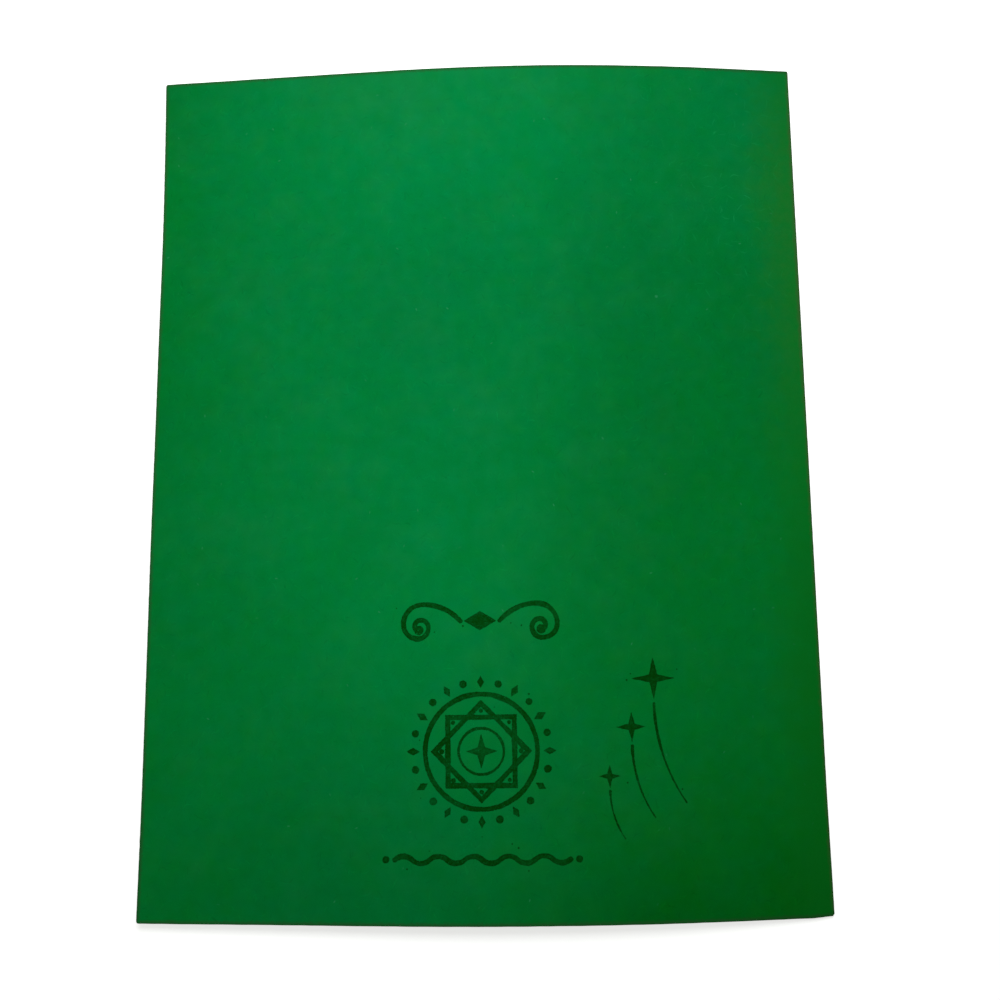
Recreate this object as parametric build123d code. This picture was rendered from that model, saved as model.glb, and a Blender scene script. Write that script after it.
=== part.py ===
from build123d import *
from math import radians, sin, sqrt
import os

# A greeting card folded once from card stock. It lies on its front cover, its back cover springs
# up a few millimetres from the fold, and the back cover carries a small stamped ornament.
# Millimetres. +X points to the fold, +Y to the card's top edge, +Z up from the table.

# Sheet
sheet_length = 215.9
card_height = 139.7
stock_thickness = 0.30

# Fold
fold_inner_radius = 0.12
worn_corner = 0.40
worn_corner_bulge = 0.05

# Back cover, which rises from the fold, bows over and falls to its free edge
lift_angle = 8.26
droop_angle = 2.88
straight_by_fold = 11.7
straight_by_edge = 38.4

# Stamped ink
ink_thickness = 0.05
ink_line = 0.75
fine_line = 0.40

# Medallion: a rim of dots and rays, a ring, an eight-pointed star and a hub
medallion_height = 26.0
medallion_radius = 11.6
rim_pairs = 12
dot_radius = 0.55
ray_length = 2.0
ray_width = 1.1
rim_gap = 0.5
star_gap = 0.5
tip_dot_radius = 0.32
hub_radius = 3.7
hub_star_radius = 2.5
hub_star_waist = 0.8

# Scroll over the medallion: a lozenge between two spirals
scroll_gap = 8.5
lozenge_length = 5.2
lozenge_height = 3.0
spiral_gap = 0.5
lead_radius = 8.0
lead_turn = 48.0
spiral_radius = 3.1
spiral_shrink = 0.74
spiral_quarters = 6
spiral_end_radius = 0.70

# Wave under the medallion
wave_gap = 4.6
wave_half_pitch = 2.7
wave_halves = 10
wave_turn = 84.0

# Sparks and their trails beside the medallion, the lowest first
spark_gap = 8.2
spark_drop = 4.0
spark_radii = (1.7, 2.3, 3.3)
spark_waists = (0.50, 0.65, 0.85)
spark_step_across = 3.6
spark_step_up = 7.4
trail_gap = 0.6
trail_lengths = (7.5, 11.5, 16.0)
trail_turn = 34.0
trail_tip = 0.12

# Sizes that follow
fold_outer_radius = fold_inner_radius + stock_thickness
fold_turn = 180 - lift_angle
fold_length = radians(fold_turn) * (fold_inner_radius + stock_thickness / 2)
cover_straight = (sheet_length - fold_length) / 2
half_width = (cover_straight + fold_outer_radius) / 2
half_height = card_height / 2
bow_turn = lift_angle + droop_angle
bow_length = cover_straight - straight_by_fold - straight_by_edge
bow_inner_radius = bow_length / radians(bow_turn) - stock_thickness / 2
above_the_card = cover_straight
medallion_y = medallion_height - half_height
scroll_y = medallion_y + medallion_radius + scroll_gap
wave_y = medallion_y - medallion_radius - wave_gap


def sheet_line(depth):
    """The sheet's line this far outside its inner face: front cover, fold, then back cover."""
    start = Vector(-half_width, stock_thickness - depth)
    front = Line(start, start + Vector(cover_straight, 0))
    fold = JernArc(front @ 1, front % 1, fold_inner_radius + depth, fold_turn)
    rise = Line(fold @ 1, fold @ 1 + (fold % 1) * straight_by_fold)
    bow = JernArc(rise @ 1, rise % 1, bow_inner_radius + depth, bow_turn)
    fall = Line(bow @ 1, bow @ 1 + (bow % 1) * straight_by_edge)
    return [front, fold, rise, bow, fall]


def layer(inner_line, outer_line):
    """The solid between two lines of the sheet, as long as the card is high."""
    one_end = Line(inner_line[0] @ 0, outer_line[0] @ 0)
    other_end = Line(inner_line[-1] @ 1, outer_line[-1] @ 1)
    section = make_face([*inner_line, *outer_line, one_end, other_end])
    return extrude(Plane.XZ * section, amount=half_height, both=True)


def corner_wear():
    """What handling has rubbed off the two ends of the fold, as seen from above."""
    inset = Vector(half_width - worn_corner, half_height)
    outset = Vector(half_width, half_height - worn_corner)
    rubbed = SagittaArc(inset, outset, worn_corner_bulge)
    far = Vector(half_width + worn_corner, half_height + worn_corner)
    outside = Polyline(outset, (far.X, outset.Y), far, (inset.X, far.Y), inset)
    corner = extrude(make_face([rubbed, outside]), amount=above_the_card, both=True)
    return [corner, mirror(corner, about=Plane.XZ)]


def folded_card():
    """The whole sheet, with both covers and the fold between them."""
    sheet = layer(sheet_line(0), sheet_line(stock_thickness))
    for corner in corner_wear():
        sheet -= corner
    return sheet


def around(ring_radius, count, first_turn, mark):
    """The same mark set evenly round a ring, the first at this turn."""
    return Sketch() + [place * mark for place in PolarLocations(ring_radius, count, first_turn)]


def lozenge(length, height):
    """A diamond with its long way along X."""
    corners = [(length / 2, 0), (0, height / 2), (-length / 2, 0), (0, -height / 2)]
    return make_face(Polyline(*corners, close=True))


def square_frame(radius, turn):
    """A square line whose corners lie on the radius."""
    inside = radius - ink_line * sqrt(2)
    return RegularPolygon(radius, 4, rotation=turn) - RegularPolygon(inside, 4, rotation=turn)


def spark(tip_radius, waist_radius):
    """A star of four points."""
    corners = []
    for turn in range(0, 360, 90):
        corners.append(Vector(tip_radius, 0).rotate(Axis.Z, turn))
        corners.append(Vector(waist_radius, 0).rotate(Axis.Z, turn + 45))
    return make_face(Polyline(*corners, close=True))


def medallion():
    rim_radius = medallion_radius - ray_length / 2
    ring_radius = medallion_radius - ray_length - rim_gap
    star_radius = ring_radius - ink_line - star_gap
    crossing = star_radius * sin(radians(45))
    tip_inside = star_radius - ink_line * sqrt(2)
    art = Circle(ring_radius) - Circle(ring_radius - ink_line)
    art += Circle(hub_radius) - Circle(hub_radius - fine_line)
    art += square_frame(star_radius, 0) + square_frame(star_radius, 45)
    art += spark(hub_star_radius, hub_star_waist)
    art += around(rim_radius, rim_pairs, 0, lozenge(ray_length, ray_width))
    art += around(rim_radius, rim_pairs, 180 / rim_pairs, Circle(dot_radius))
    art += around((crossing + tip_inside) / 2, 8, 0, Circle(tip_dot_radius))
    return Pos(0, medallion_y) * art


def spiral():
    """One line that arches away from the lozenge and curls in on itself."""
    start = Vector(lozenge_length / 2 + spiral_gap, 0)
    line = [JernArc(start, Vector(1, 0).rotate(Axis.Z, lead_turn), lead_radius, -lead_turn)]
    for quarter in range(spiral_quarters):
        radius = spiral_radius * spiral_shrink**quarter
        line.append(JernArc(line[-1] @ 1, line[-1] % 1, radius, -90))
    inner_end = line[-1] @ 1
    return trace(line, ink_line) + Pos(inner_end.X, inner_end.Y) * Circle(spiral_end_radius)


def scroll():
    right = spiral()
    middle = lozenge(lozenge_length, lozenge_height)
    return Pos(0, scroll_y) * (middle + right + mirror(right, about=Plane.YZ))


def wave():
    """Arcs that bend up and down in turn, with a dot past each end."""
    radius = wave_half_pitch / (2 * sin(radians(wave_turn / 2)))
    length = wave_half_pitch * wave_halves
    end = Vector(-length / 2, 0)
    heading = Vector(1, 0).rotate(Axis.Z, wave_turn / 2)
    line = []
    for half in range(wave_halves):
        turn = wave_turn if half % 2 else -wave_turn
        line.append(JernArc(end, heading, radius, turn))
        end = line[-1] @ 1
        heading = line[-1] % 1
    beyond = length / 2 + wave_half_pitch / 2
    art = trace(line, ink_line)
    art += [Pos(side * beyond, 0) * Circle(dot_radius) for side in (-1, 1)]
    return Pos(0, wave_y) * art


def trail(length):
    """A fine line that heads down, bends to the right and thins towards its tip."""
    middle = JernArc((0, 0), (0, -1), length / radians(trail_turn), trail_turn)
    start_half = Vector(fine_line / 2, 0)
    tip_half = Vector(trail_tip / 2, 0)
    bend_half = (start_half + tip_half) / 2
    left = ThreePointArc(-start_half, middle @ 0.5 - bend_half, middle @ 1 - tip_half)
    right = ThreePointArc(start_half, middle @ 0.5 + bend_half, middle @ 1 + tip_half)
    return make_face([left, right, Line(-start_half, start_half), Line(left @ 1, right @ 1)])


def sparks():
    """Stars that climb to the right, each with a trail falling away below it."""
    art = Sketch()
    for step, (radius, waist, length) in enumerate(zip(spark_radii, spark_waists, trail_lengths)):
        across = medallion_radius + spark_gap + step * spark_step_across
        up = medallion_y - spark_drop + step * spark_step_up
        hanging = Pos(0, -radius - trail_gap) * trail(length)
        art += Pos(across, up) * (spark(radius, waist) + hanging)
    return art


def stamped_ornament():
    """The ink, a film on the back cover's outer face wherever the stamps touched it."""
    on_the_card = sheet_line(stock_thickness)[2:]
    ink_top = sheet_line(stock_thickness + ink_thickness)[2:]
    film = layer(on_the_card, ink_top)
    inked = []
    for art in (medallion(), scroll(), wave(), sparks()):
        inked += (film & extrude(art, amount=above_the_card)).solids()
    return Compound(children=inked)


os.makedirs("parts", exist_ok=True)
export_step(folded_card(), "parts/folded_card.step")
export_step(stamped_ornament(), "parts/stamped_ornament.step")
print("cover", round(cover_straight, 3), "bow radius", round(bow_inner_radius, 2))
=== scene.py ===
from math import cos, pi, radians, sin, sqrt, tau
import bpy
import numpy as np
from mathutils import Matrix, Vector


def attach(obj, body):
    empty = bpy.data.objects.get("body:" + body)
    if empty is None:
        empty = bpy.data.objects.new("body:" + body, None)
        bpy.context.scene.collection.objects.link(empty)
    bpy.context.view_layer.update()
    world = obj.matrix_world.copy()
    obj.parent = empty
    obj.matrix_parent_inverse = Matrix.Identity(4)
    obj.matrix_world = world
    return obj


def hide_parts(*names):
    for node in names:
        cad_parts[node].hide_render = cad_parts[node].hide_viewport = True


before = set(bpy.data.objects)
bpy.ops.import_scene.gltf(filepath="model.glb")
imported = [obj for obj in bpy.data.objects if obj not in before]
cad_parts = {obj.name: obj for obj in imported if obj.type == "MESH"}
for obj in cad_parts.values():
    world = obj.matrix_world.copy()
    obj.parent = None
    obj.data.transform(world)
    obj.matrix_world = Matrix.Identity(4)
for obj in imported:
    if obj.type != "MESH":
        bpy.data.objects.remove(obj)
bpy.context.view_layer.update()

# A folded greeting card of green card stock, lying on its front cover. Its back cover springs up
# from the fold and carries a small stamped ornament.
# Millimetres until a mesh is made. +X points to the fold, +Y to the card's top edge, +Z up.
MM = 0.001

# The sheet, with the same sizes as the solid that it stands for
sheet_length = 215.9
card_height = 139.7
stock = 0.30
fold_inner_radius = 0.12
lift_angle = radians(8.26)
droop_angle = radians(2.88)
straight_by_fold = 11.7
straight_by_edge = 38.4

# Signs of paper and of use that the solid leaves out
arris = 0.04
free_corner = 0.40
worn_corner = 0.22
lower_end_short = 0.20
lower_end_from = 3.5
crest_roughness = 0.010
crest_grain = 2.0
crest_strip = 1.0
cut_roughness = 0.012
cut_grain = 1.4
cut_plies = 6
cockle = 0.045
cockle_length = 34.0
cockle_from_fold = 30.0
free_edge_heights = (-69.85, -45.0, -5.0, 33.0, 69.85)
free_edge_reach = (0.63, 0.43, 0.32, 0.06, 0.39)
free_edge_from = 60.0
fold_flare = 0.15
fold_flare_from = -48.0
fold_flare_across = 6.0

# The waves that make up an uneven line, and the seeds of the sheet's own
ripple_waves = 9
ripple_spread = (0.7, 1.5)
cockle_seed = 3
cut_seed = 5
crest_seed = 7

# The sheet's mesh: strips with closer rows, the rows of each stretch and the rows through the stock
edge_strip = 1.0
fold_strip = 3.0
rows_along = (2, 4, 10, 6, 18, 8, 66, 4, 2)
rows_up_one_half = (170, 4, 2)
depth_shares = (0.0, 0.22, 0.5, 0.78, 1.0)
sharp_angle = radians(40)

# How much more a place's depth counts than its way along the sheet, in its distance from the crest
depth_weight = 10

# The stamped ink
ink_line = 0.75
fine_line = 0.40
ink_above = 0.008
ink_below = 0.004
ink_bleed = 0.05
ink_creep = ((0.016, 0.5), (0.018, 1.2), (0.035, 4.5))
speck_count = 5
speck_from_outline = (0.4, 1.6)
speck_radii = (0.11, 0.19)

# The ink's mesh: its cells, the least share of a cell's side and the stations of the face under it
ink_cell = 0.075
least_share = 0.1
face_stations = 3000

# Medallion
medallion_centre = (0.0, -43.85)
rim_radius = 10.6
rim_pairs = 12
ray_length = 2.0
ray_width = 1.1
dot_radius = 0.55
ring_radius = 9.1
star_radius = 7.85
star_tips = 8
tip_dot_reach = 6.17
tip_dot_radius = 0.32
hub_radius = 3.7
hub_star_radius = 2.5
hub_star_waist = 0.8

# Scroll
scroll_centre = (0.0, -23.75)
lozenge_length = 5.2
lozenge_height = 3.0
spiral_gap = 0.5
lead_radius = 8.0
lead_turn = 48.0
spiral_radius = 3.1
spiral_shrink = 0.74
spiral_quarters = 6
spiral_end_radius = 0.70

# Wave
wave_centre = (0.0, -60.05)
wave_half_pitch = 2.7
wave_halves = 10
wave_turn = 84.0

# Sparks and their trails
spark_start = (19.8, -47.85)
spark_step = (3.6, 7.4)
spark_sizes = ((1.7, 0.50, 7.5), (2.3, 0.65, 11.5), (3.3, 0.85, 16.0))
trail_gap = 0.6
trail_turn = 34.0
trail_tip = 0.12

# Broad, soft fields of painted light and shade, where the card is made lighter or darker: centre,
# reach and change of tone
light_and_shade_fields = (
    ((26.0, 27.0), (25.0, 79.0), -0.14),
    ((-8.0, -24.0), (33.0, 38.0), 0.13),
    ((29.0, -86.0), (41.0, 45.0), -0.30),
    ((10.0, 71.0), (64.0, 41.0), 0.10),
    ((-52.0, 26.0), (35.0, 60.0), -0.10),
    ((-9.0, 29.0), (34.0, 29.0), -0.08),
    ((-56.0, 10.0), (16.0, 110.0), -0.06),
    ((-30.0, -68.0), (36.0, 26.0), -0.06),
    ((52.0, -25.0), (14.0, 40.0), 0.05),
    ((-55.0, 73.0), (26.0, 21.0), -0.10),
    ((57.0, -73.0), (22.0, 24.0), -0.12),
    ((50.0, 21.0), (18.0, 26.0), -0.08),
)

# Broad, soft fields of painted light and shade in the hue, less blue where the light falls off and
# more where it is bright: centre, reach and change of blue
blue_fields = (
    ((36.0, -16.0), (50.0, 66.0), -0.0075),
    ((40.0, -84.0), (62.0, 52.0), -0.0205),
    ((-60.0, 45.0), (24.0, 70.0), -0.0100),
    ((56.0, 73.0), (26.0, 26.0), 0.0110),
    ((58.0, -56.0), (20.0, 46.0), -0.0070),
)

# A broad, soft field of painted warm sheen near the top, which adds red: centre, reach and change
# of red
warm_sheen_fields = (((-10.0, 74.0), (54.0, 20.0), 0.0040),)

# Where raised fibres take a painted highlight in grazing light: centre, reach and how much they
# show
fibre_highlight_fields = (((46.0, 50.0), (25.0, 44.0), 0.34),)

# How far apart and how strongly the fields' outlines wander, and how far the fields go in depth
field_drift = (14.0, 12.0)
endless = 1e6

# The dye, with painted light and shade in its blue: more blue up the card and less away from its
# bluest line
dye_red = 0.0004
dye_green = 0.203
dye_blue = 0.0436
blue_upwards = 0.00006
blue_outwards = -0.00017
bluest_across = -5.0

# Layers of noise: how far apart the lumps are, detail, roughness and strength
pulp_clouds = ((16.0, 2.0, 0.5, 0.018), (6.0, 2.0, 0.5, 0.030), (2.2, 3.0, 0.5, 0.045))
tooth = ((0.30, 3.0, 0.6, 0.16),)
red_clouds = ((3.0, 3.0, 0.5, 0.0014), (9.0, 2.0, 0.5, 0.0018))
blue_clouds = ((2.4, 3.0, 0.5, 0.0050), (8.0, 2.0, 0.5, 0.0040))
ink_clouds = ((5.0, 2.0, 0.5, 0.14), (0.50, 3.0, 0.7, 0.18))

# Fibres in the stock: each layer's cell, length, width and shift, and what one adds
fibre_layers = ((1.3, 1.6, 0.19, 3.0), (1.0, 1.2, 0.15, 41.0), (1.9, 2.3, 0.22, 77.0))
fibre_drift = (1.4, 0.9)
fibre_bend = 0.25
fibre_softness = 0.7
fibre_tone = 0.14
fibre_relief = (0.1, 0.9)
shift_slant = 0.7
# Which fibres take the painted highlight
highlit_fibre_chances = (0.2, 1.0)

# Flecks of undyed pulp, and the largest one
fleck_cell = 5.5
fleck_chances = (0.70, 1.0)
fleck_squeeze = (0.45, 1.0, 0.0)
fleck_reach = (0.15, 0.04)
fleck_strength = 0.55
large_fleck = (29.6, 29.0)
large_fleck_reach = (0.34, 0.12)

# Painted warm sheen beside the fold, and wear on its crest: where they fade up the card and out
# from the crest, their noise and their strength
brown_sheen_from = (-15.0, 45.0)
brown_sheen_to = (76.0, 48.0)
blotch_noise = (3.4, 4.0, 0.65)
blotch_drift = 2.6
olive_up = (15.0, -45.0)
olive_out = (9.5, 0.5)
olive_strength = (0.56, 0.82)
brown_out = (10.5, 0.8)
brown_strength = (0.04, 0.27)
mottle_noise = (1.3, 3.0, 0.6)
brown_mottle = (0.95, 0.45)
fray_noise = (0.40, 4.0, 0.70)
fray_squeeze = (1.0, 0.35, 1.0)
fray_drift = 0.30
crest_out = (1.05, 0.25)
crest_wider = 0.15
crest_strength = 0.80
crack_frays = (0.25, 0.8)
crack_out = (0.8, 0.3)

# Painted shade along the cut edges, and the paler fibre of the cut: their noise, where they fade
# out from the cut and their strength
margin_noise = (0.5, 4.0, 0.70)
margin_drift = 0.20
margin_out = (0.80, 0.12)
edge_shade_noise = (0.16, 2.0)
edge_shade_strength = (0.78, 0.25)
ply_noise = (0.45, 3.0, 0.65)
ply_squeeze = (1.0, 1.0, 9.0)
ply_strength = (0.55, 0.35)
cut_out = (0.035, 0.0)

# The ink's cover: pinholes, the fade at its rim and the darker line that the stamp squeezes out
ink_cover = 0.90
pinhole_noise = (0.22, 2.0, 0.6)
pinhole_from = (-0.55, -0.95)
pinhole_strength = 0.55
ink_rim_fade = (-0.06, 0.10)
squeezed_from = (0.06, 0.12)
squeezed_to = (0.26, 0.15)

# Colours
undyed_pulp = (0.030, 0.270, 0.110, 1.0)
# Painted highlight on raised fibres
fibre_highlight = (0.012, 0.300, 0.090, 1.0)
# Painted warm sheen beside the fold
olive_sheen = (0.0012, 0.192, 0.014, 1.0)
brown_sheen = (0.034, 0.180, 0.028, 1.0)
worn_crest = (0.048, 0.120, 0.030, 1.0)
cracked_crest = (0.075, 0.180, 0.070, 1.0)
# Painted shade along the cut edges
edge_shade = (0.019, 0.098, 0.024, 1.0)
open_cut = (0.022, 0.260, 0.085, 1.0)
ink_colour = (0.0004, 0.050, 0.0014, 1.0)
squeezed_ink = (0.0003, 0.038, 0.0010, 1.0)
sheen_tint = (0.2, 1.0, 0.5, 1.0)
floor_colour = (0.86, 0.86, 0.85, 1.0)
white = (1.0, 1.0, 1.0, 1.0)

# The finished surfaces: roughness, how it varies, and the height of the relief
stock_roughness = 0.86
ink_roughness = 0.80
roughness_noise = (0.6, 3.0)
roughness_change = 0.04
stock_relief = 0.005
ink_relief = 0.0045

# The floor: its reach, and where and how its glow grows to plain white
floor_reach = 3000.0
glow_from_card = (80.0, 190.0)
glow = (0.71, 1.0)

# The camera and the lamp, which follow the photograph
camera_place = (9.451, -26.456, 165.951)
camera_turn = (0.134742, 0.0393975, -0.0129142)
camera_lens = 36.432
camera_sensor = 36.0
camera_clip = 5.0
lamp_place = (13.3, 47.5, 180.0)
lamp_aim = (-132.2, 86.4, 0.0)
lamp_side = 90.0
lamp_watts = 0.372
lamp_colour = (0.96, 1.0, 1.0)
ambient_colour = (1.0, 1.0, 0.80, 1.0)
ambient_strength = 0.107

# Sizes that follow
fold_turn = pi - lift_angle
bow_turn = lift_angle + droop_angle
fold_outer_radius = fold_inner_radius + stock
cover = (sheet_length - fold_turn * (fold_inner_radius + stock / 2)) / 2
half_width = (cover + fold_outer_radius) / 2
half_height = card_height / 2
bow_length = cover - straight_by_fold - straight_by_edge
crest = cover + fold_outer_radius * pi / 2

# The outer face from the front cover's free edge to the back cover's: each run's length and turn
runs = [
    (cover, 0.0),
    (fold_outer_radius * fold_turn, fold_turn),
    (straight_by_fold, 0.0),
    (bow_length + bow_turn * stock / 2, bow_turn),
    (straight_by_edge, 0.0),
]
whole_length = sum(length for length, turn in runs)
back_start = cover + runs[1][0]


# Shapes in numbers


def smooth_step(value):
    """0 up to 0, 1 from 1, and an even curve between them."""
    held = np.clip(value, 0.0, 1.0)
    return held * held * (3 - 2 * held)


def ripple(places, wavelength, seed):
    """Uneven waves of about -1 to 1. Places holds one row of coordinates for each point."""
    chance = np.random.default_rng(seed)
    total = np.zeros(len(places))
    for _ in range(ripple_waves):
        way = chance.normal(size=places.shape[1])
        way *= tau / (wavelength * chance.uniform(*ripple_spread) * np.linalg.norm(way))
        total += np.sin(places @ way + chance.uniform(0, tau))
    return total / sqrt(ripple_waves)


def outer_face(along):
    """Across, up and heading of the sheet's outer face at these lengths along it."""
    across = np.full_like(along, -half_width)
    up = np.zeros_like(along)
    heading = np.zeros_like(along)
    start = 0.0
    turned = 0.0
    for length, turn in runs:
        went = np.clip(along - start, 0.0, length)
        if turn:
            radius = length / turn
            now = turned + went / radius
            across += radius * (np.sin(now) - sin(turned))
            up += radius * (cos(turned) - np.cos(now))
        else:
            across += went * cos(turned)
            up += went * sin(turned)
        heading += went * turn / length
        start += length
        turned += turn
    return across, up, heading


def back_cover_lift(along, height):
    """How far the back cover stands above its plain bow, as it isn't perfectly even."""
    from_fold = along - back_start
    free = smooth_step(from_fold / cockle_from_fold)
    places = np.column_stack([from_fold, height])
    return free * cockle * ripple(places, cockle_length, cockle_seed)


def out_of_square(along, height):
    """How far the sheet reaches past its plain outline, outwards on each side."""
    bend = np.polyfit(free_edge_heights, free_edge_reach, len(free_edge_heights) - 1)
    near_free_edge = smooth_step(1 - (whole_length - along) / free_edge_from)
    near_crest = smooth_step(1 - np.abs(along - crest) / fold_flare_across)
    flare = smooth_step((fold_flare_from - height) / (half_height + fold_flare_from))
    return near_crest * flare * fold_flare - near_free_edge * np.polyval(bend, height)


def stations(stops, counts):
    """Places along a line, evenly spaced from each stop to the next."""
    parts = [
        np.linspace(first, last, count, endpoint=False)
        for first, last, count in zip(stops, stops[1:], counts)
    ]
    return np.append(np.concatenate(parts), stops[-1])


def quads(numbers, flipped):
    """Four-cornered faces over a table of vertex numbers."""
    corners = [numbers[:-1, :-1], numbers[1:, :-1], numbers[1:, 1:], numbers[:-1, 1:]]
    if flipped:
        corners.reverse()
    return np.stack(corners, axis=-1).reshape(-1, 4)


def add_mesh(name, places, faces, measures, material):
    """A piece from its vertices in millimetres, with measures kept at each vertex."""
    mesh = bpy.data.meshes.new(name)
    mesh.from_pydata((places * MM).tolist(), [], faces)
    mesh.validate()
    for title, values in measures.items():
        mesh.attributes.new(title, "FLOAT", "POINT").data.foreach_set("value", values)
    mesh.shade_smooth()
    mesh.set_sharp_from_angle(angle=sharp_angle)
    mesh.materials.append(material)
    piece = bpy.data.objects.new(name, mesh)
    bpy.context.collection.objects.link(piece)
    return piece


# The folded card


def sheet_lattice():
    """Places along the sheet, up the card and through the stock, closer together at the edges."""
    front_cover = [0, arris, edge_strip, cover - fold_strip, cover]
    back_cover = [back_start, back_start + fold_strip]
    back_cover += [whole_length - edge_strip, whole_length - arris, whole_length]
    along = stations(front_cover + back_cover, rows_along)
    one_half = [0, half_height - edge_strip, half_height - arris, half_height]
    up_one_half = stations(one_half, rows_up_one_half)
    height = np.concatenate([-up_one_half[:0:-1], up_one_half])
    depth = np.array(depth_shares) * stock
    return along, height, depth


def folded_card(material):
    """The sheet as one closed skin: both faces, the cut edges and the worn ends of the fold."""
    along, height, depth = sheet_lattice()
    shape = (len(along), len(height), len(depth))
    skin = np.zeros(shape, bool)
    for side in (0, -1):
        skin[side] = True
        skin[:, side] = True
        skin[:, :, side] = True
    number = np.full(shape, -1)
    number[skin] = np.arange(skin.sum())
    i, j, k = np.nonzero(skin)
    s, y, d = along[i], height[j], depth[k]
    outside = k == 0
    across, up, heading = outer_face(s)

    # The cut edges are a little rough, and the blade rolled their corners over
    from_free_edge = np.minimum(s, whole_length - s)
    from_end = half_height - np.abs(y)
    from_cut = np.minimum(from_free_edge, from_end)
    in_arris = np.clip(arris - from_cut, 0, arris)
    rolled = arris - np.sqrt(arris**2 - in_arris**2)
    d = np.where(outside, rolled, np.where(k == len(depth) - 1, stock - rolled, d))
    rough = cut_roughness * ripple(np.column_stack([s, y, d * cut_plies]), cut_grain, cut_seed)
    near_edge = np.clip(1 - from_free_edge / edge_strip, 0, 1)
    near_end = np.clip(1 - from_end / edge_strip, 0, 1)
    across = across - near_edge * rough + out_of_square(s, y)

    # Handling has rounded the free corners and the ends of the fold, and its crest is uneven
    in_corner = smooth_step(1 - from_free_edge / free_corner)
    in_corner = in_corner * smooth_step(1 - from_end / free_corner)
    rounded = in_corner * free_corner * (1 - sqrt(0.5))
    past_fold = across - half_width
    rubbed = smooth_step((past_fold + worn_corner) / worn_corner) * worn_corner
    drawn_in = smooth_step((past_fold + lower_end_from) / lower_end_from) * lower_end_short
    inwards = rounded + rubbed + np.where(y < 0, drawn_in, 0.0) - near_end * rough
    across = across + rounded
    on_crest = smooth_step(1 - np.abs(s - crest) / crest_strip) * outside
    uneven = np.clip(1 + ripple(np.column_stack([s, y]), crest_grain, crest_seed), 0, 2)
    d = d + on_crest * crest_roughness * uneven
    y = y * (1 - inwards / half_height)

    places = np.column_stack([
        across - np.sin(heading) * d,
        y,
        np.maximum(up + np.cos(heading) * d + back_cover_lift(s, y), 0.0),
    ])
    faces = np.concatenate([
        quads(number[:, :, 0], True),
        quads(number[:, :, -1], False),
        quads(number[:, 0, :], False),
        quads(number[:, -1, :], True),
        quads(number[0, :, :], True),
        quads(number[-1, :, :], False),
    ])
    measures = {"from_crest": np.abs(s - crest) + depth_weight * d, "from_cut": from_cut}
    return add_mesh("green_card", places, faces.tolist(), measures, material)


# The stamped ornament, as distances from each outline that are negative inside it


def on_ring(centre, radius, turn):
    """The place on a ring at this turn."""
    return (centre[0] + radius * cos(turn), centre[1] + radius * sin(turn))


def round_spot(x, y, centre, radius):
    """Distance from a disc."""
    return np.hypot(x - centre[0], y - centre[1]) - radius


def round_line(x, y, centre, outer_radius, width):
    """Distance from a ring."""
    return np.abs(round_spot(x, y, centre, outer_radius - width / 2)) - width / 2


def from_run(x, y, start, end):
    """Distance from a straight run, and how far along it the nearest place is, from 0 to 1."""
    run_x, run_y = end[0] - start[0], end[1] - start[1]
    went = (x - start[0]) * run_x + (y - start[1]) * run_y
    share = np.clip(went / (run_x**2 + run_y**2), 0, 1)
    return np.hypot(x - start[0] - share * run_x, y - start[1] - share * run_y), share


def outline(x, y, corners):
    """Distance from a closed outline with straight sides."""
    nearest = np.full(x.shape, 1e9)
    within = np.zeros(x.shape, bool)
    for start, end in zip(corners, corners[1:] + corners[:1]):
        nearest = np.minimum(nearest, from_run(x, y, start, end)[0])
        if start[1] != end[1]:
            level = (y - start[1]) / (end[1] - start[1])
            between = (start[1] > y) != (end[1] > y)
            within ^= between & (x < start[0] + level * (end[0] - start[0]))
    return np.where(within, -nearest, nearest)


def stroke(x, y, line, widths):
    """Distance from a line whose width changes along it."""
    nearest = np.full(x.shape, 1e9)
    for start, end, first, last in zip(line, line[1:], widths, widths[1:]):
        off, share = from_run(x, y, start, end)
        nearest = np.minimum(nearest, off - (first + share * (last - first)) / 2)
    return nearest


def turned_line(start, heading, arcs):
    """Points along arcs that follow each other, given as radii and turns in degrees."""
    x, y = start
    line = [(x, y)]
    steps = 12
    for radius, turn in arcs:
        step_turn = radians(turn) / steps
        chord = 2 * radius * sin(abs(step_turn) / 2)
        for _ in range(steps):
            heading += step_turn / 2
            x += chord * cos(heading)
            y += chord * sin(heading)
            heading += step_turn / 2
            line.append((x, y))
    return line


def star(centre, tip_radius, waist_radius):
    """Corners of a star of four points."""
    radii = (tip_radius, waist_radius) * 4
    return [on_ring(centre, radius, step * pi / 4) for step, radius in enumerate(radii)]


def lozenge(centre, turn, length, width):
    """Corners of a diamond."""
    radii = (length / 2, width / 2) * 2
    return [on_ring(centre, radius, turn + step * pi / 2) for step, radius in enumerate(radii)]


def square_line(x, y, centre, radius, turn):
    """Distance from a square line whose corners lie on the radius."""
    inner_radius = radius - ink_line * sqrt(2)
    outside = outline(x, y, lozenge(centre, turn, 2 * radius, 2 * radius))
    inside = outline(x, y, lozenge(centre, turn, 2 * inner_radius, 2 * inner_radius))
    return np.maximum(outside, -inside)


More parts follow.
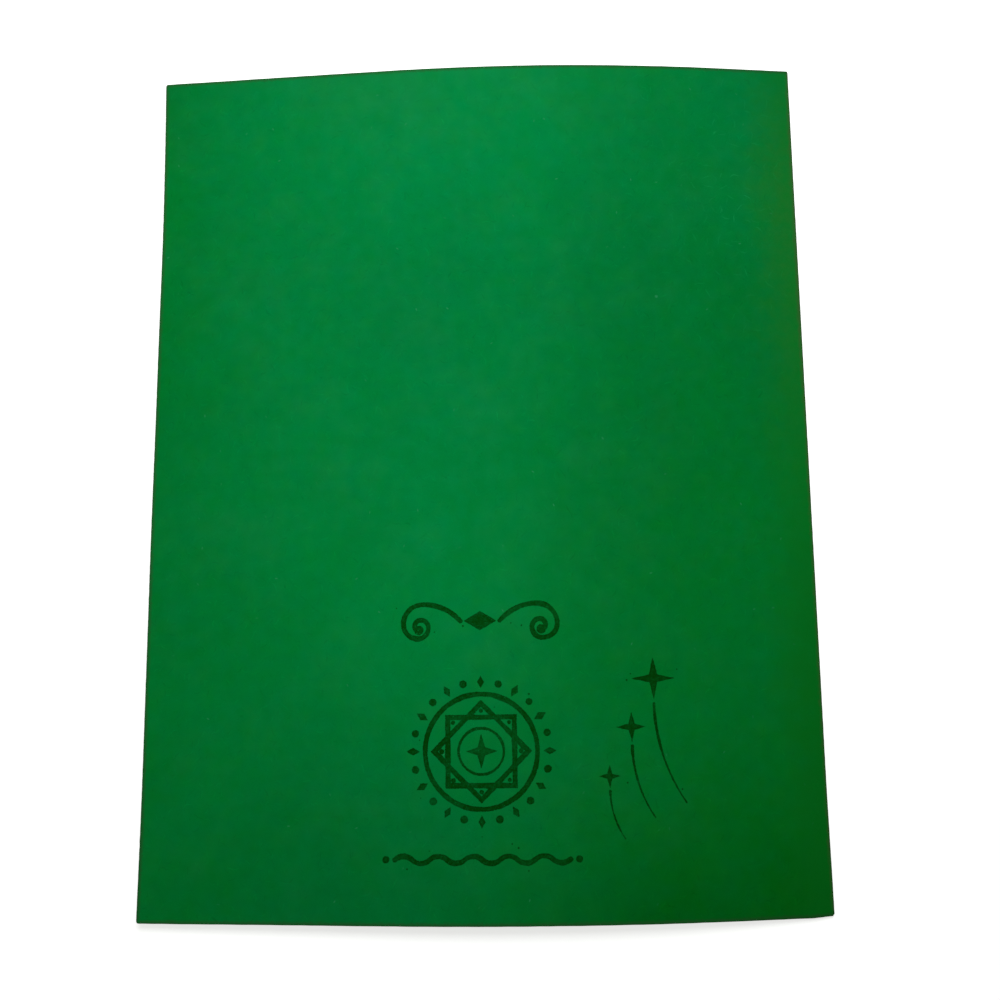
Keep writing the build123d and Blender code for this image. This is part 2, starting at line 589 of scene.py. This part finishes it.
def medallion(x, y):
    """A rim of dots and rays round a ring, an eight-pointed star of two squares and a hub."""
    centre = medallion_centre
    parts = [
        round_line(x, y, centre, ring_radius, ink_line),
        round_line(x, y, centre, hub_radius, fine_line),
        outline(x, y, star(centre, hub_star_radius, hub_star_waist)),
        square_line(x, y, centre, star_radius, 0.0),
        square_line(x, y, centre, star_radius, pi / 4),
    ]
    for step in range(rim_pairs):
        turn = step * tau / rim_pairs
        ray_centre = on_ring(centre, rim_radius, turn)
        parts.append(outline(x, y, lozenge(ray_centre, turn, ray_length, ray_width)))
        dot_centre = on_ring(centre, rim_radius, turn + pi / rim_pairs)
        parts.append(round_spot(x, y, dot_centre, dot_radius))
    for step in range(star_tips):
        dot_centre = on_ring(centre, tip_dot_reach, step * tau / star_tips)
        parts.append(round_spot(x, y, dot_centre, tip_dot_radius))
    return np.minimum.reduce(parts)


def scroll(x, y):
    """A lozenge between two spirals."""
    arcs = [(lead_radius, -lead_turn)]
    arcs += [(spiral_radius * spiral_shrink**quarter, -90.0) for quarter in range(spiral_quarters)]
    line = turned_line((lozenge_length / 2 + spiral_gap, 0.0), radians(lead_turn), arcs)
    side = np.abs(x - scroll_centre[0])
    up = y - scroll_centre[1]
    return np.minimum.reduce([
        stroke(side, up, line, [ink_line] * len(line)),
        round_spot(side, up, line[-1], spiral_end_radius),
        outline(x, y, lozenge(scroll_centre, 0.0, lozenge_length, lozenge_height)),
    ])


def wave(x, y):
    """A line that bends up and down in turn, with a dot past each end."""
    half_turn = radians(wave_turn / 2)
    radius = wave_half_pitch / (2 * sin(half_turn))
    arcs = [(radius, wave_turn if half % 2 else -wave_turn) for half in range(wave_halves)]
    reach = wave_half_pitch * wave_halves / 2
    line = turned_line((wave_centre[0] - reach, wave_centre[1]), half_turn, arcs)
    parts = [stroke(x, y, line, [ink_line] * len(line))]
    for side in (-1, 1):
        dot_centre = (wave_centre[0] + side * (reach + wave_half_pitch / 2), wave_centre[1])
        parts.append(round_spot(x, y, dot_centre, dot_radius))
    return np.minimum.reduce(parts)


def sparks(x, y):
    """Stars that climb to the right, each with a trail that falls away below it."""
    parts = []
    for step, (tip, waist, length) in enumerate(spark_sizes):
        centre = (spark_start[0] + spark_step[0] * step, spark_start[1] + spark_step[1] * step)
        parts.append(outline(x, y, star(centre, tip, waist)))
        top = (centre[0], centre[1] - tip - trail_gap)
        line = turned_line(top, -pi / 2, [(length / radians(trail_turn), trail_turn)])
        parts.append(stroke(x, y, line, np.linspace(fine_line, trail_tip, len(line))))
    return np.minimum.reduce(parts)


def back_cover_height(across, height):
    """How high the back cover's outer face stands at these places, seen from above."""
    along = np.linspace(back_start, whole_length, face_stations)
    line_across, line_up, _ = outer_face(along)

    # The uneven trim has moved each place, so where it lies along the sheet is looked up twice
    at = np.interp(-across, -line_across, along)
    at = np.interp(out_of_square(at, height) - across, -line_across, along)
    return np.interp(at, along, line_up) + back_cover_lift(at, height)


def printed_shape(x, y, shape, seed):
    """The shape's distance once the ink has crept along the fibres and left a few stray specks."""
    flat = np.column_stack([x.ravel(), y.ravel()])
    creep = np.zeros(len(flat))
    for step, (reach, length) in enumerate(ink_creep):
        creep += reach * ripple(flat, length, seed + step)
    distance = shape(x, y) - ink_bleed + creep.reshape(x.shape)
    chance = np.random.default_rng(seed)
    nearest, furthest = speck_from_outline
    beside = np.argwhere((distance > nearest) & (distance < furthest))
    for row in beside[chance.integers(0, len(beside), speck_count)]:
        speck = (x[tuple(row)], y[tuple(row)])
        distance = np.minimum(distance, round_spot(x, y, speck, chance.uniform(*speck_radii)))
    return distance


def stamped(name, low, high, shape, seed, material):
    """A thin film of ink wherever the shape is, closed all round, on the back cover."""
    lines_x = np.arange(low[0], high[0], ink_cell)
    lines_y = np.arange(low[1], high[1], ink_cell)
    x, y = np.meshgrid(lines_x, lines_y, indexing="ij")
    distance = printed_shape(x, y, shape, seed)
    inside = distance < 0
    touched = inside[:-1, :-1] | inside[1:, :-1] | inside[1:, 1:] | inside[:-1, 1:]

    # Each vertex is a pair of grid corners: the same one twice, or two that the outline parts
    number = {}
    tops = []
    walls = []
    for i, j in np.argwhere(touched).tolist():
        ring = []
        corners = [(i, j), (i + 1, j), (i + 1, j + 1), (i, j + 1)]
        for first, last in zip(corners, corners[1:] + corners[:1]):
            if inside[first]:
                ring.append((first, first))
            if inside[first] != inside[last]:
                ring.append((min(first, last), max(first, last)))
        tops.append([number.setdefault(key, len(number)) for key in ring])
        for first, last in zip(ring, ring[1:] + ring[:1]):
            if first[0] != first[1] and last[0] != last[1]:
                walls.append((number[first], number[last]))

    pairs = np.array(list(number))
    first, last = pairs[:, 0], pairs[:, 1]
    at_first = distance[first[:, 0], first[:, 1]]
    at_last = distance[last[:, 0], last[:, 1]]
    on_outline = (first != last).any(axis=1)
    share = at_first / np.where(on_outline, at_first - at_last, 1.0)
    share = np.clip(share, least_share, 1 - least_share)
    share = np.where(on_outline, share, 0.0)[:, None]
    flat = np.array(low) + (first + share * (last - first)) * ink_cell
    up = back_cover_height(flat[:, 0], flat[:, 1])
    places = np.concatenate([
        np.column_stack([flat, up + ink_above]),
        np.column_stack([flat, up - ink_below]),
    ])
    count = len(number)
    faces = list(tops)
    faces += [[index + count for index in reversed(top)] for top in tops]
    faces += [[last, first, first + count, last + count] for first, last in walls]
    from_rim = np.where(on_outline, 0.0, -at_first)
    return add_mesh(name, places, faces, {"from_rim": np.tile(from_rim, 2)}, material)


# Materials


class Nodes:
    """Adds nodes to a tree. Their inputs are plain values or other nodes' outputs."""

    def __init__(self, owner):
        owner.use_nodes = True
        self.tree = owner.node_tree
        self.tree.nodes.clear()

    def add(self, kind, inputs=None, **settings):
        """A new node, with its settings and inputs."""
        made = self.tree.nodes.new(kind)
        for title, value in settings.items():
            setattr(made, title, value)
        for title, value in (inputs or {}).items():
            if isinstance(value, bpy.types.NodeSocket):
                self.tree.links.new(value, made.inputs[title])
            else:
                made.inputs[title].default_value = value
        return made

    def math(self, operation, *values):
        """One number from others."""
        return self.add("ShaderNodeMath", dict(enumerate(values)), operation=operation).outputs[0]

    def total(self, *values):
        """The sum of numbers."""
        result = values[0]
        for value in values[1:]:
            result = self.math("ADD", result, value)
        return result

    def held(self, value):
        """The value kept between 0 and 1."""
        return self.add("ShaderNodeClamp", {"Value": value}).outputs[0]

    def vector(self, operation, *values):
        """One vector from others."""
        made = self.add("ShaderNodeVectorMath", dict(enumerate(values)), operation=operation)
        return made.outputs["Vector"]

    def scaled(self, vector, factor):
        """A vector times a number."""
        inputs = {"Vector": vector, "Scale": factor}
        made = self.add("ShaderNodeVectorMath", inputs, operation="SCALE")
        return made.outputs["Vector"]

    def length(self, vector):
        """How long a vector is."""
        made = self.add("ShaderNodeVectorMath", {0: vector}, operation="LENGTH")
        return made.outputs["Value"]

    def fade(self, value, nothing, everything):
        """0 where the value is at nothing, 1 where it is at everything, and smooth between."""
        made = self.add(
            "ShaderNodeMapRange",
            {"Value": value, "From Min": nothing, "From Max": everything},
            interpolation_type="SMOOTHSTEP",
        )
        return made.outputs[0]

    def between(self, share, first, last):
        """The first number where the share is 0, and the last where it is 1."""
        return self.math("MULTIPLY_ADD", share, last - first, first)

    def varied(self, noise, middle, change):
        """A number that noise moves up and down from its middle by about this change."""
        return self.math("MULTIPLY_ADD", noise, change, middle)

    def mix(self, factor, first, last):
        """The first colour at 0 and the last at 1."""
        made = self.add("ShaderNodeMix", {0: factor, 6: first, 7: last}, data_type="RGBA")
        return made.outputs[2]

    def noise(self, place, size, detail=2.0, roughness=0.5):
        """Noise of about -1 to 1, with its lumps this many millimetres apart."""
        made = self.add(
            "ShaderNodeTexNoise",
            {"Vector": place, "Scale": 1 / size, "Detail": detail, "Roughness": roughness},
        )
        return self.math("MULTIPLY_ADD", made.outputs["Fac"], 4.0, -2.0)

    def clouds(self, place, layers):
        """Layers of noise added up, each given as its size, detail, roughness and strength."""
        parts = []
        for size, detail, roughness, strength in layers:
            lumps = self.noise(place, size, detail, roughness)
            parts.append(self.math("MULTIPLY", lumps, strength))
        return self.total(*parts)

    def drifted(self, place, size, reach):
        """The place moved about by noise, by up to half this reach each way."""
        made = self.add("ShaderNodeTexNoise", {"Vector": place, "Scale": 1 / size, "Detail": 1.0})
        way = self.vector("SUBTRACT", made.outputs["Color"], (0.5, 0.5, 0.5))
        return self.vector("ADD", place, self.scaled(way, reach))

    def measure(self, title):
        """A measure that the mesh keeps at its vertices."""
        return self.add("ShaderNodeAttribute", attribute_name=title).outputs["Fac"]

    def place(self):
        """The place on the object, in millimetres."""
        return self.scaled(self.add("ShaderNodeTexCoord").outputs["Object"], 1 / MM)


def scattered(nodes, place, cell):
    """The way from the nearest of many scattered points, turned at random, and its own chances."""
    cells = nodes.add(
        "ShaderNodeTexVoronoi", {"Vector": place, "Scale": 1 / cell}, voronoi_dimensions="2D"
    )
    chance = nodes.add("ShaderNodeSeparateColor", {"Color": cells.outputs["Color"]}).outputs
    off = nodes.vector("SUBTRACT", place, cells.outputs["Position"])
    turned = nodes.add(
        "ShaderNodeVectorRotate",
        {"Vector": off, "Angle": nodes.math("MULTIPLY", chance["Red"], tau)},
        rotation_type="Z_AXIS",
    )
    return turned.outputs[0], chance


def fibres(nodes, place, cell, length, width, shift):
    """Where short bent fibres lie, one to a cell, and a random number for each."""
    shifted = nodes.vector("ADD", place, (shift, shift * shift_slant, 0.0))
    off, chance = scattered(nodes, shifted, cell)
    part = nodes.add("ShaderNodeSeparateXYZ", {"Vector": off}).outputs
    along = nodes.math("MULTIPLY", part["X"], 2 / length)
    along_squared = nodes.math("MULTIPLY", along, along)
    most_bend = fibre_bend * length
    bend = nodes.between(chance["Blue"], -most_bend, most_bend)
    aside = nodes.math("MULTIPLY_ADD", bend, along_squared, part["Y"])
    aside = nodes.math("MULTIPLY", nodes.math("ABSOLUTE", aside), 2 / width)
    room = nodes.math("SUBTRACT", nodes.math("SUBTRACT", 1.0, aside), along_squared)
    return nodes.fade(room, 0.0, fibre_softness), chance["Green"]


def paper_surface(nodes, place):
    """Tone and relief of the card stock, and where the fibres lie that can take a painted
    highlight.
    """
    bent = nodes.drifted(place, *fibre_drift)
    tone = nodes.clouds(place, pulp_clouds)
    relief = nodes.clouds(place, tooth)
    for layer in fibre_layers:
        mask, chance = fibres(nodes, bent, *layer)
        side = nodes.between(chance, -1.0, 1.0)
        few = nodes.math("MULTIPLY", side, nodes.math("MULTIPLY", side, side))
        tone = nodes.math("MULTIPLY_ADD", nodes.math("MULTIPLY", mask, few), fibre_tone, tone)
        raised = nodes.between(chance, *fibre_relief)
        relief = nodes.math("MULTIPLY_ADD", mask, raised, relief)
    return tone, relief, nodes.math("MULTIPLY", mask, nodes.fade(chance, *highlit_fibre_chances))


def pale_flecks(nodes, place):
    """Where a few specks of undyed pulp lie."""
    off, chance = scattered(nodes, place, fleck_cell)
    reach = nodes.length(nodes.vector("MULTIPLY", off, fleck_squeeze))
    pale = nodes.fade(chance["Green"], *fleck_chances)
    specks = nodes.math("MULTIPLY", nodes.fade(reach, *fleck_reach), pale)
    off = nodes.vector("SUBTRACT", place, (*large_fleck, 0.0))
    reach = nodes.length(nodes.vector("MULTIPLY", off, (1.0, 1.0, 0.0)))
    return nodes.math("MAXIMUM", specks, nodes.fade(reach, *large_fleck_reach))


def changed_in_fields(nodes, place, value, fields):
    """The value with ovals added, each fading from its change in the middle to 0 at its reach."""
    for centre, reach, change in fields:
        off = nodes.vector("SUBTRACT", place, (*centre, 0.0))
        shares = nodes.vector("DIVIDE", off, (*reach, endless))
        share = nodes.fade(nodes.length(shares), 1.0, 0.0)
        value = nodes.math("MULTIPLY_ADD", share, change, value)
    return value


def stock_colour_and_painted_light(nodes, place, tone, fibre):
    """The dyed pulp with its fibres and pale specks, under painted light and shade, painted warm
    sheen and painted highlights on raised fibres.
    """
    drifting = nodes.drifted(place, *field_drift)
    # Painted light and shade: broad patches made lighter or darker
    tone = changed_in_fields(nodes, drifting, tone, light_and_shade_fields)
    red = nodes.total(nodes.clouds(place, red_clouds), dye_red)
    # Painted warm sheen: more red in a broad field near the top
    red = changed_in_fields(nodes, drifting, red, warm_sheen_fields)
    # Painted shade in the hue: less blue down the card, away from the bluest line and in broad
    # fields
    part = nodes.add("ShaderNodeSeparateXYZ", {"Vector": place}).outputs
    aside = nodes.math("ABSOLUTE", nodes.math("SUBTRACT", part["X"], bluest_across))
    blue = nodes.total(
        nodes.math("MULTIPLY_ADD", part["Y"], blue_upwards, dye_blue),
        nodes.math("MULTIPLY", aside, blue_outwards),
        nodes.clouds(place, blue_clouds),
    )
    blue = changed_in_fields(nodes, drifting, blue, blue_fields)
    hues = {0: nodes.math("MAXIMUM", red, 0.0), 1: dye_green, 2: blue}
    dye = nodes.add("ShaderNodeCombineXYZ", hues).outputs[0]
    dyed = nodes.scaled(dye, nodes.math("ADD", tone, 1.0))
    # Painted highlight: raised fibres made paler in one broad field
    painted_light_region = changed_in_fields(nodes, drifting, 0.0, fibre_highlight_fields)
    highlit = nodes.math("MULTIPLY", fibre, painted_light_region)
    dyed = nodes.mix(highlit, dyed, fibre_highlight)
    flecked = nodes.math("MULTIPLY", pale_flecks(nodes, place), fleck_strength)
    return nodes.mix(flecked, dyed, undyed_pulp)


def shader(nodes, colour, roughness, relief, relief_height):
    """The finished surface, with relief heights in millimetres."""
    bump = nodes.add(
        "ShaderNodeBump", {"Strength": 1.0, "Distance": relief_height * MM, "Height": relief}
    )
    surface = nodes.add(
        "ShaderNodeBsdfPrincipled",
        {
            "Base Color": colour,
            "Roughness": roughness,
            "Normal": bump.outputs[0],
            "IOR": 1.45,
            "Specular IOR Level": 0.02,
            "Sheen Weight": 0.02,
            "Sheen Roughness": 0.6,
            "Sheen Tint": sheen_tint,
        },
    )
    nodes.add("ShaderNodeOutputMaterial", {"Surface": surface.outputs[0]})


def fold_sheen_and_wear(nodes, place, colour):
    """A painted olive sheen beside the fold, a painted brown one towards the top, and a ragged worn
    crest.
    """
    from_crest = nodes.measure("from_crest")
    height = nodes.add("ShaderNodeSeparateXYZ", {"Vector": place}).outputs["Y"]
    # Painted reflection: an olive sheen beside the fold and a brown one towards the top
    blotches = nodes.noise(place, *blotch_noise)
    blotchy = nodes.math("MULTIPLY_ADD", blotches, blotch_drift, from_crest)
    olive = nodes.between(nodes.fade(height, *olive_up), *olive_strength)
    olive = nodes.math("MULTIPLY", nodes.fade(blotchy, *olive_out), olive)
    colour = nodes.mix(olive, colour, olive_sheen)
    painted_light_region = nodes.fade(height, *brown_sheen_from)
    painted_light_region = nodes.math("MULTIPLY", painted_light_region, nodes.fade(height, *brown_sheen_to))
    brown = nodes.between(painted_light_region, *brown_strength)
    brown = nodes.math("MULTIPLY", brown, nodes.fade(blotchy, *brown_out))
    mottled = nodes.varied(nodes.noise(place, *mottle_noise), *brown_mottle)
    brown = nodes.held(nodes.math("MULTIPLY", brown, mottled))
    colour = nodes.mix(brown, colour, brown_sheen)

    frays = nodes.noise(nodes.vector("MULTIPLY", place, fray_squeeze), *fray_noise)
    ragged = nodes.math("MULTIPLY_ADD", frays, fray_drift, from_crest)
    ragged = nodes.math("MULTIPLY_ADD", painted_light_region, -crest_wider, ragged)
    worn = nodes.math("MULTIPLY", nodes.fade(ragged, *crest_out), crest_strength)
    colour = nodes.mix(worn, colour, worn_crest)
    cracked = nodes.fade(frays, *crack_frays)
    cracked = nodes.math("MULTIPLY", cracked, nodes.fade(from_crest, *crack_out))
    return nodes.mix(cracked, colour, cracked_crest)


def shaded_and_cut_edges(nodes, place, colour):
    """A narrow margin of painted shade along the cut edges, and the paler, layered fibre of the
    cut.
    """
    from_cut = nodes.measure("from_cut")
    # Painted shade: a dark, ragged margin along the cut edges
    frayed = nodes.noise(place, *margin_noise)
    frayed = nodes.math("MULTIPLY_ADD", frayed, margin_drift, from_cut)
    patchy_shade = nodes.varied(nodes.noise(place, *edge_shade_noise), *edge_shade_strength)
    edge_shaded = nodes.held(nodes.math("MULTIPLY", nodes.fade(frayed, *margin_out), patchy_shade))
    colour = nodes.mix(edge_shaded, colour, edge_shade)
    plies = nodes.noise(nodes.vector("MULTIPLY", place, ply_squeeze), *ply_noise)
    open_fibre = nodes.held(nodes.varied(plies, *ply_strength))
    on_cut = nodes.fade(from_cut, *cut_out)
    return nodes.mix(nodes.math("MULTIPLY", open_fibre, on_cut), colour, open_cut)


def uneven_roughness(nodes, place, middle):
    """Roughness that varies a little from place to place."""
    return nodes.varied(nodes.noise(place, *roughness_noise), middle, roughness_change)


def card_material():
    """Dyed card stock under painted light and shade, with a painted sheen by the fold, painted
    shade on its cut edges, a worn crest and paler cut fibre.
    """
    material = bpy.data.materials.new("green_card_stock_finish")
    nodes = Nodes(material)
    place = nodes.place()
    tone, relief, fibre = paper_surface(nodes, place)
    colour = stock_colour_and_painted_light(nodes, place, tone, fibre)
    colour = fold_sheen_and_wear(nodes, place, colour)
    colour = shaded_and_cut_edges(nodes, place, colour)
    roughness = uneven_roughness(nodes, place, stock_roughness)
    shader(nodes, colour, roughness, relief, stock_relief)
    return material


def ink_material():
    """Stamped ink in the stock: patchy, thin at its rim, with pinholes where it missed it."""
    material = bpy.data.materials.new("dark_green_ink_finish")
    nodes = Nodes(material)
    place = nodes.place()
    tone, relief, fibre = paper_surface(nodes, place)
    paper = stock_colour_and_painted_light(nodes, place, tone, fibre)
    patchy = nodes.total(nodes.clouds(place, ink_clouds), ink_cover)
    missed = nodes.fade(nodes.noise(place, *pinhole_noise), *pinhole_from)
    patchy = nodes.math("MULTIPLY_ADD", missed, -pinhole_strength, patchy)
    from_rim = nodes.measure("from_rim")
    covered = nodes.math("MULTIPLY", patchy, nodes.fade(from_rim, *ink_rim_fade))
    squeezed = nodes.fade(from_rim, *squeezed_from)
    squeezed = nodes.math("MULTIPLY", squeezed, nodes.fade(from_rim, *squeezed_to))
    inked = nodes.mix(squeezed, ink_colour, squeezed_ink)
    colour = nodes.mix(nodes.held(covered), paper, inked)
    roughness = uneven_roughness(nodes, place, ink_roughness)
    shader(nodes, colour, roughness, relief, ink_relief)
    return material


# Floor, surroundings, lamp and camera


def seen_directly(nodes):
    """1 for what the camera sees itself, in a reflection or through something clear."""
    rays = nodes.add("ShaderNodeLightPath").outputs
    seen = nodes.math("MAXIMUM", rays["Is Camera Ray"], rays["Is Glossy Ray"])
    return nodes.math("MAXIMUM", seen, rays["Is Transmission Ray"])


def floor():
    """A pale floor that turns plain white away from the card and keeps its shadow near it."""
    material = bpy.data.materials.new("pale_floor")
    nodes = Nodes(material)
    from_card = nodes.length(nodes.place())
    strength = nodes.between(nodes.fade(from_card, *glow_from_card), *glow)
    strength = nodes.math("MULTIPLY", strength, seen_directly(nodes))
    glowing = nodes.add("ShaderNodeEmission", {"Color": white, "Strength": strength})
    pale = nodes.add("ShaderNodeBsdfDiffuse", {"Color": floor_colour})
    both = nodes.add("ShaderNodeAddShader", {0: pale.outputs[0], 1: glowing.outputs[0]})
    nodes.add("ShaderNodeOutputMaterial", {"Surface": both.outputs[0]})
    corners = floor_reach * np.array([(-1, -1, 0), (1, -1, 0), (1, 1, 0), (-1, 1, 0)])
    add_mesh("floor", corners, [[0, 1, 2, 3]], {}, material)


def surroundings():
    """Soft light from all round, and plain white where the surroundings themselves are seen."""
    world = bpy.data.worlds.new("surroundings")
    bpy.context.scene.world = world
    nodes = Nodes(world)
    ambient = nodes.add(
        "ShaderNodeBackground", {"Color": ambient_colour, "Strength": ambient_strength}
    )
    plain = nodes.add("ShaderNodeBackground", {"Color": white})
    shaders = {0: seen_directly(nodes), 1: ambient.outputs[0], 2: plain.outputs[0]}
    mixed = nodes.add("ShaderNodeMixShader", shaders)
    nodes.add("ShaderNodeOutputWorld", {"Surface": mixed.outputs[0]})


def soft_lamp():
    """One large soft lamp above the card."""
    data = bpy.data.lights.new("soft_lamp", "AREA")
    data.shape = "SQUARE"
    data.size = lamp_side * MM
    data.energy = lamp_watts
    data.color = lamp_colour
    lamp = bpy.data.objects.new("soft_lamp", data)
    lamp.location = Vector(lamp_place) * MM
    heading = Vector(lamp_aim) - Vector(lamp_place)
    lamp.rotation_euler = heading.to_track_quat("-Z", "Y").to_euler()
    lamp.visible_camera = False
    bpy.context.collection.objects.link(lamp)


def camera():
    """The camera where the photograph was taken from."""
    data = bpy.data.cameras.new("camera")
    data.sensor_width = camera_sensor
    data.lens = camera_lens
    data.clip_start = camera_clip * MM
    made = bpy.data.objects.new("camera", data)
    made.location = Vector(camera_place) * MM
    made.rotation_euler = camera_turn
    bpy.context.collection.objects.link(made)
    bpy.context.scene.camera = made


card = folded_card(card_material())
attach(card, "root")
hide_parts("folded_card")

ink = ink_material()
for name, low, high, shape, seed in (
    ("inked_medallion", (-13.5, -57.4), (13.5, -30.4), medallion, 11),
    ("inked_scroll", (-21.0, -32.5), (21.0, -15.0), scroll, 23),
    ("inked_wave", (-17.0, -63.6), (17.0, -56.6), wave, 37),
    ("inked_sparks", (16.0, -60.5), (34.0, -27.0), sparks, 51),
):
    stamp = stamped(name, low, high, shape, seed, ink)
    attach(stamp, "root")
    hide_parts("stamped_ornament")

floor()
surroundings()
soft_lamp()
camera()
bpy.context.scene.view_settings.view_transform = "Standard"
